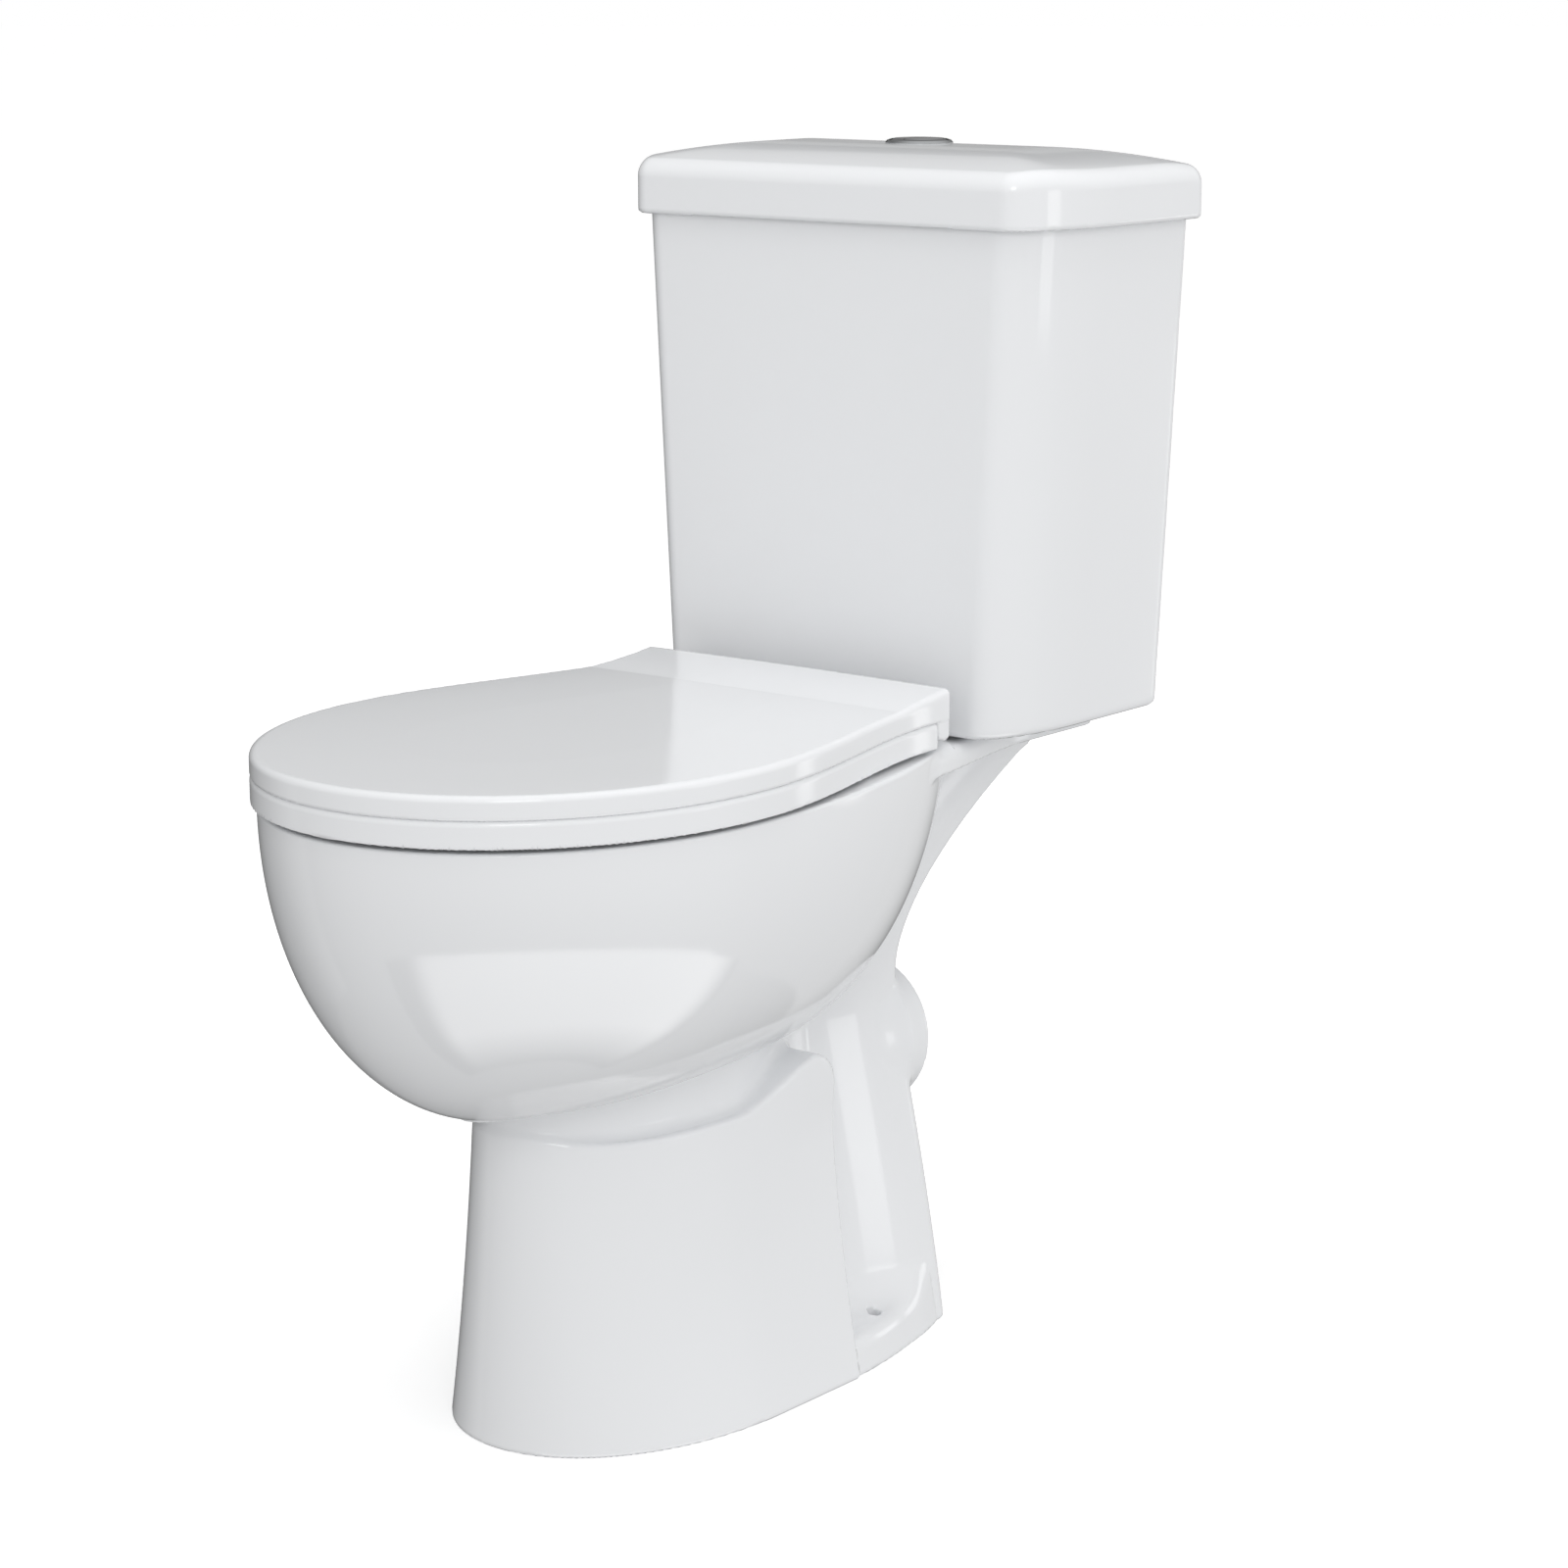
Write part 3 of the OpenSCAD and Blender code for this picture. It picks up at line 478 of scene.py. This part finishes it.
def pan(x, y, z):
    back = spine(x, y, z)
    body = join(skirt(x, y, z), neck(x, y, z), 7)
    body = join(body, join(back, shelf(x, y, z), 22), 24)
    low = join(back, foot(x, y, z), 20)
    body = np.minimum(body, np.where(z < 130, keep(low, foot_outline(x, y, z), 4), low))
    bowl = keep(even(bowl_section, x, y, z), z - RIM_Z, 2)
    body = join(body, keep(bowl, BOWL_LOW_Z + 0.0038 * np.minimum(x, 46) ** 2 - z, 4), 3)
    body = join(body, spigot(x, y, z), 5)
    body = keep(keep(body, z - np.where(y < STEP_Y, RIM_Z, SHELF_Z), 2), -z, 3)
    # bowl and sump, spigot, flush inlet, coupling bolts and floor screws, as blind holes
    well = join(even(well_section, x, y, z), rod(x, y + 18, z, 40, 196, 262, 10), 16)
    body = cut(body, np.maximum(well, z - RIM_Z - 5), 5)
    body = cut(body, rod(x, z - SPIGOT_Z, y, 44, 174, 240), 2)
    body = cut(body, rod(x, z - SPIGOT_Z, y, 28, 120, 240), 1.5)
    body = cut(body, rod(x, y - VALVE_Y, z, 50, 392, 430), 1)
    body = cut(body, rod(x - HINGE_X, y - VALVE_Y, z, 12, 380, 399), 1)
    body = cut(body, rod(x - FLOOR_HOLE[0], y - FLOOR_HOLE[1], z, 4.5, -5, 60), 0.8)
    return body


# ---------------------------------------------------------------- seat

def seat_outline(x, y, inset=0.0):
    """Distance to the seat's outline, without its rear end."""
    half = mix(SEAT_HALF, SEAT_REAR_HALF, ease((y - SEAT_WIDE_Y) / 230))
    curved = superellipse(x, np.minimum(y - SEAT_WIDE_Y, 0), SEAT_HALF, SEAT_WIDE_Y - SEAT_FRONT,
                          SEAT_EXPONENT)
    return np.where(y < SEAT_WIDE_Y, curved, (x - half) * 0.985) + inset


def hinge_away(y, z):
    return np.sqrt((y - HINGE_Y) ** 2 + (z - HINGE_Z) ** 2)


def seat_ring(x, y, z):
    low, high = RING_LOW[2], RING_HIGH[2]
    outline = keep(seat_outline(x, y), y - (HINGE_Y - 5), 5)
    plate = keep(keep(outline, z - high, 4), low - z, 1.0)
    wide = -112.0
    length = np.where(y < wide, wide + 262, 28 - wide)
    hole = superellipse(x, y - wide, 106, length, 2.1)
    plate = cut(plate, hole, 5)
    plate = cut(plate, keep(hinge_away(y, z) - BARREL_R - 0.6, x - 150, 0), 0.6)
    notch = box_field(x, y, z, (HINGE_X - NOTCH_HALF, HINGE_Y - 10, 300),
                      (HINGE_X + NOTCH_HALF, HINGE_Y + 30, 500), 1)
    plate = cut(plate, notch, 0.8)
    for side in (-1, 1):
        middle = HINGE_X + side * 14
        lug = keep(hinge_away(y, z) - 6.5, np.abs(x - middle) - 6, 0.8)
        arm = box_field(x, y, z, (middle - 6, HINGE_Y - 16, HINGE_Z - 6.5),
                        (middle + 6, HINGE_Y, HINGE_Z + 4.3), 0.8)
        plate = join(plate, join(lug, arm, 1), 1)
    return cut(plate, keep(hinge_away(y, z) - 3.1, np.abs(x - HINGE_X) - 21, 0), 0)


def cover_top(y):
    lift = COVER_RISE * np.clip((y - 50) / (SEAT_REAR - 50), 0, 1) ** 1.2
    return COVER_HIGH[2] - COVER_RISE + lift


def seat_cover(x, y, z):
    low = 427.6
    outline = keep(seat_outline(x, y), y - SEAT_REAR, 4)
    crown = 0.9 * np.clip(-seat_outline(x, y) / 90, 0, 1) ** 0.5
    plate = keep(outline, z - cover_top(y) - (crown - 0.9), 4)
    plate = keep(plate, low - z, 1.8)
    hollow = keep(keep(seat_outline(x, y, 9), y - 60, 6), z - low - 7, 3)
    plate = cut(plate, hollow, 1)
    barrel = join(hinge_away(y, z) - BARREL_R,
                  keep(keep(np.abs(y - HINGE_Y) - BARREL_R, z - 438, 0), HINGE_Z - z, 0), 0)
    plate = join(plate, keep(barrel, keep(outline, x - 125, 0), 1.2), 0)
    notch = box_field(x, y, z, (HINGE_X - NOTCH_HALF, HINGE_Y - 16, HINGE_Z - 40),
                      (HINGE_X + NOTCH_HALF, HINGE_Y + 24, HINGE_Z + 8.5), 0.5)
    plate = cut(plate, notch, 0.8)
    pin = keep(hinge_away(y, z) - 3.1, np.abs(x - HINGE_X - NOTCH_HALF - 6) - 8, 0)
    return cut(plate, pin, 0)


# ---------------------------------------------------------------- cistern

def rounded_front(x, y, half, front, rx, ry):
    """Slightly bowed front face with long oval corners, open to the rear."""
    front = front - 1.2 * np.clip(1 - (x / (half - rx)) ** 2, 0, 1)
    corner = superellipse(np.maximum(x - half + rx, 0), np.minimum(y - front - ry, 0), rx, ry, 2.2)
    near = (x > half - rx) & (y < front + ry)
    return np.where(near, corner, np.maximum(x - half, front - y))


def tank_section(x, y, z, inset=0.0):
    u = (z - TANK_LOW[2]) / (TANK_HIGH[2] - TANK_LOW[2])
    half = mix(TANK_LOW_HALF, TANK_HIGH[0], u) - inset
    front = mix(136.0, 135.0, u) + inset
    return keep(rounded_front(x, y, half, front, 31.0 - inset, 88.0 - inset), y - TANK_REAR + inset,
                14 - inset * 0.7)


def cistern(x, y, z):
    outside = even(tank_section, x, y, z)
    outside = keep(outside, TANK_LOW[2] - z, 5)
    outside = keep(outside, z - TANK_HIGH[2], 2.5)
    inside = keep(even(lambda x, y, z: tank_section(x, y, z, TANK_WALL), x, y, z),
                  TANK_LOW[2] + 10 - z, 6)
    body = cut(outside, inside, 2)
    body = cut(body, rod(x, y - VALVE_Y, z, 31, 400, 430), 0.8)
    return body


def cistern_lid(x, y, z):
    half, rear, front = LID_HIGH[0], LID_HIGH[1], LID_LOW[1] + 1.2
    side = keep(rounded_front(x, y, half, front, 31.0, 95.0), y - rear, 14)
    slopes = [(1 - np.clip(inward / DOME_REACH, -0.02, 1)) ** 7.4
              for inward in (half - x, y - front, rear - y)]
    dome = LID_HIGH[2] - 12.5 * (sum(slopes) + 1e-9) ** 0.25
    body = keep(side, (z - dome) * 0.97, 10)
    body = keep(body, LID_LOW[2] - z, 2.8)
    rebate = keep(tank_section(x, y, np.full_like(z, TANK_HIGH[2]), -1.2), z - TANK_HIGH[2] - 0.3, 0)
    hollow = keep(tank_section(x, y, np.full_like(z, TANK_HIGH[2]), 14), z - LID_HIGH[2] + 14, 8)
    body = cut(body, np.minimum(rebate, hollow), 0.8)
    body = cut(body, rod(x, y - VALVE_Y, z, 20.3, 700, 900), 0.4)
    return cut(body, rod(x, y - VALVE_Y, z, 22.8, LID_HIGH[2] - 0.4, 900), 0)


# ---------------------------------------------------------------- studio

def target_camera():
    """Camera at the photograph's angle: azimuth, elevation, distance and framing, in metres."""
    azimuth, elevation = math.radians(38.3), math.radians(12.1)
    target = Vector((0.0406, 0.0454, 0.3859))
    back = Vector((math.sin(azimuth) * math.cos(elevation),
                   -math.cos(azimuth) * math.cos(elevation), math.sin(elevation)))
    data = bpy.data.cameras.new("camera")
    data.sensor_width = 36
    data.lens = 88.89
    data.clip_start, data.clip_end = 0.05, 50
    camera = bpy.data.objects.new("camera", data)
    camera.location = target + back * 2.4684
    camera.rotation_mode = "QUATERNION"
    camera.rotation_quaternion = (-back).to_track_quat("-Z", "Y")
    bpy.context.scene.collection.objects.link(camera)
    bpy.context.scene.camera = camera


def area_light(name, place, aim, width, height, power):
    data = bpy.data.lights.new(name, "AREA")
    data.shape = "RECTANGLE"
    data.size, data.size_y = width, height
    data.energy = power
    light = bpy.data.objects.new(name, data)
    light.location = place
    light.rotation_mode = "QUATERNION"
    light.rotation_quaternion = (Vector(aim) - Vector(place)).to_track_quat("-Z", "Y")
    bpy.context.scene.collection.objects.link(light)
    return light


def toward(azimuth, elevation=0.0):
    """Unit vector; azimuth is measured from -Y toward +X, in degrees."""
    a, e = math.radians(azimuth), math.radians(elevation)
    return Vector((math.sin(a) * math.cos(e), -math.cos(a) * math.cos(e), math.sin(e)))


def directional(tree, vector, axis, start, end, low, high):
    """Node value that eases from low to high as a direction turns toward an axis."""
    nodes, links = tree.nodes, tree.links
    dot = nodes.new("ShaderNodeVectorMath")
    dot.operation = "DOT_PRODUCT"
    dot.inputs[1].default_value = axis
    links.new(vector, dot.inputs[0])
    mapped = nodes.new("ShaderNodeMapRange")
    mapped.interpolation_type = "SMOOTHSTEP"
    for socket, value in zip(("From Min", "From Max", "To Min", "To Max"), (start, end, low, high)):
        mapped.inputs[socket].default_value = value
    links.new(dot.outputs["Value"], mapped.inputs["Value"])
    return mapped.outputs["Result"]


def reflection_only(name, points, faces, material):
    """Studio card that only shows in reflections."""
    mesh = bpy.data.meshes.new(name)
    mesh.from_pydata(points, [], faces)
    mesh.materials.append(material)
    card = bpy.data.objects.new(name, mesh)
    bpy.context.scene.collection.objects.link(card)
    card.visible_camera = card.visible_diffuse = card.visible_shadow = card.visible_transmission = False


def emitter(name, strength):
    material = bpy.data.materials.new(name)
    material.use_nodes = True
    nodes, links = material.node_tree.nodes, material.node_tree.links
    nodes.remove(nodes["Principled BSDF"])
    glow = nodes.new("ShaderNodeEmission")
    glow.inputs["Strength"].default_value = strength
    links.new(glow.outputs["Emission"], nodes["Material Output"].inputs["Surface"])
    return material, glow


def arc_card(name, radius, azimuths, heights, material):
    """Curved card standing round the object, in the reflections only."""
    steps = 40
    arc = [toward(mix(azimuths[0], azimuths[1], i / steps)) * radius for i in range(steps + 1)]
    points = [(p.x, p.y, z) for z in heights for p in arc]
    n = steps + 1
    reflection_only(name, points, [(i, i + 1, n + i + 1, n + i) for i in range(steps)], material)


def cards():
    """Grey card behind and left, black strip for the chrome, bright strips for the rear ridge and flute."""
    grey, glow = emitter("flag", 1.0)
    coordinates = grey.node_tree.nodes.new("ShaderNodeTexCoord")
    middle = toward(-115) / 2.2
    fade = directional(grey.node_tree, coordinates.outputs["Object"], middle, 0.45, 0.9, 0.75, 0.1)
    grey.node_tree.links.new(fade, glow.inputs["Strength"])
    arc_card("flag", 2.2, (-235, -55), (-1.3, 0.8), grey)
    arc_card("chrome_flag", 2.2, (-165, -112), (1.17, 1.4), emitter("black", 0.02)[0])
    arc_card("ridge_strip", 2.1, (150, 157), (-0.06, 0.4), emitter("ridge", 2.2)[0])
    arc_card("flute_strip", 6.0, (108, 118), (-0.35, 0.7), emitter("flute", 2.6)[0])


def low_glow():
    """Light far below on the front right, which the underside of the bowl mirrors as a soft band."""
    low, inner, outer, steps = -1.2, 0.45, 2.27, 32
    material, glow = emitter("glow", 1.0)
    tree = material.node_tree
    level = tree.nodes.new("ShaderNodeVectorMath")
    level.operation = "MULTIPLY"
    level.inputs[1].default_value = (1, 1, 0)
    tree.links.new(tree.nodes.new("ShaderNodeTexCoord").outputs["Object"], level.inputs[0])
    unit = tree.nodes.new("ShaderNodeVectorMath")
    unit.operation = "NORMALIZE"
    away = tree.nodes.new("ShaderNodeVectorMath")
    away.operation = "LENGTH"
    both = tree.nodes.new("ShaderNodeMath")
    both.operation = "MULTIPLY"
    for node in (unit, away):
        tree.links.new(level.outputs["Vector"], node.inputs[0])
    tree.links.new(directional(tree, unit.outputs["Vector"], toward(66), 0.24, 0.5, 0.0, 3.0), both.inputs[0])
    fade = tree.nodes.new("ShaderNodeMapRange")
    fade.inputs["From Min"].default_value = inner
    fade.inputs["From Max"].default_value = 1.0
    tree.links.new(away.outputs["Value"], fade.inputs["Value"])
    tree.links.new(fade.outputs["Result"], both.inputs[1])
    tree.links.new(both.outputs["Value"], glow.inputs["Strength"])
    arc = [toward(-20 + 160 * i / steps) for i in range(steps + 1)]
    points = [(p.x * r, p.y * r, low) for r in (inner, outer) for p in arc]
    n = steps + 1
    reflection_only("glow", points, [(i, i + 1, n + i + 1, n + i) for i in range(steps)], material)


def floor_plane():
    """Pale floor that only the camera sees."""
    mesh = bpy.data.meshes.new("floor")
    size = 120.0
    mesh.from_pydata([(-size, -size, 0), (size, -size, 0), (size, size, 0), (-size, size, 0)], [],
                     [(0, 1, 2, 3)])
    floor_material, shader = new_material("floor", Roughness=0.9)
    shader.inputs["Base Color"].default_value = rgb(0.92, 0.92, 0.92)
    shader.inputs["Emission Color"].default_value = rgb(1, 1, 1)
    shader.inputs["Emission Strength"].default_value = 0.42
    mesh.materials.append(floor_material)
    floor = bpy.data.objects.new("floor", mesh)
    bpy.context.scene.collection.objects.link(floor)
    floor.visible_diffuse = floor.visible_glossy = False


def surroundings():
    """White to the camera; to the object, darker behind left and below."""
    world = bpy.data.worlds.new("studio")
    bpy.context.scene.world = world
    world.use_nodes = True
    nodes, links = world.node_tree.nodes, world.node_tree.links
    nodes["Background"].inputs["Color"].default_value = rgb(1, 1, 1)
    direction = nodes.new("ShaderNodeTexCoord").outputs["Generated"]
    shade = nodes.new("ShaderNodeMath")
    shade.operation = "MULTIPLY"
    links.new(directional(world.node_tree, direction, toward(-120, 5), -0.2, 0.9, 0.84, 0.26),
              shade.inputs[0])
    links.new(directional(world.node_tree, direction, (0, 0, -1), 0.25, 0.95, 1.0, 0.6), shade.inputs[1])
    seen = nodes.new("ShaderNodeMix")
    seen.inputs["B"].default_value = 1.0
    links.new(nodes.new("ShaderNodeLightPath").outputs["Is Camera Ray"], seen.inputs["Factor"])
    links.new(shade.outputs["Value"], seen.inputs["A"])
    links.new(seen.outputs["Result"], nodes["Background"].inputs["Strength"])


def studio():
    floor_plane()
    surroundings()
    cards()
    low_glow()
    top = area_light("top_softbox", (0, -0.2, 3.1), (0, 0, 0.4), 2.0, 2.0, 25)
    side = area_light("side_softbox", toward(110) * 2.3 + Vector((0, 0, 0.6)), (0, 0, 0.45), 0.8, 1.4, 4.5)
    top.visible_glossy = side.visible_glossy = False
    area_light("key_softbox", toward(44) * 2.6 + Vector((0, 0, 1.8)), (0, 0, 0.4), 0.9, 0.9, 10)
    bpy.context.scene.view_settings.view_transform = "Standard"


# ---------------------------------------------------------------- build

SEAT_STEP = 2.0

target_camera()
dress_cad_nodes()
mesh_piece("glazed_pan", pan, PAN_LOW, PAN_HIGH, 2.5, "pan_and_cistern", GLAZE, "pan")
mesh_piece("moulded_ring", seat_ring, RING_LOW, RING_HIGH, SEAT_STEP, "ring", SEAT_PLASTIC, "seat_ring")
mesh_piece("moulded_cover", seat_cover, COVER_LOW, COVER_HIGH, SEAT_STEP, "cover", SEAT_PLASTIC,
           "seat_cover")
mesh_piece("glazed_cistern", cistern, TANK_LOW, TANK_HIGH, 3.0, "pan_and_cistern", GLAZE, "cistern")
mesh_piece("glazed_lid", cistern_lid, LID_LOW, LID_HIGH, 2.5, "lid", GLAZE, "cistern_lid")
studio()
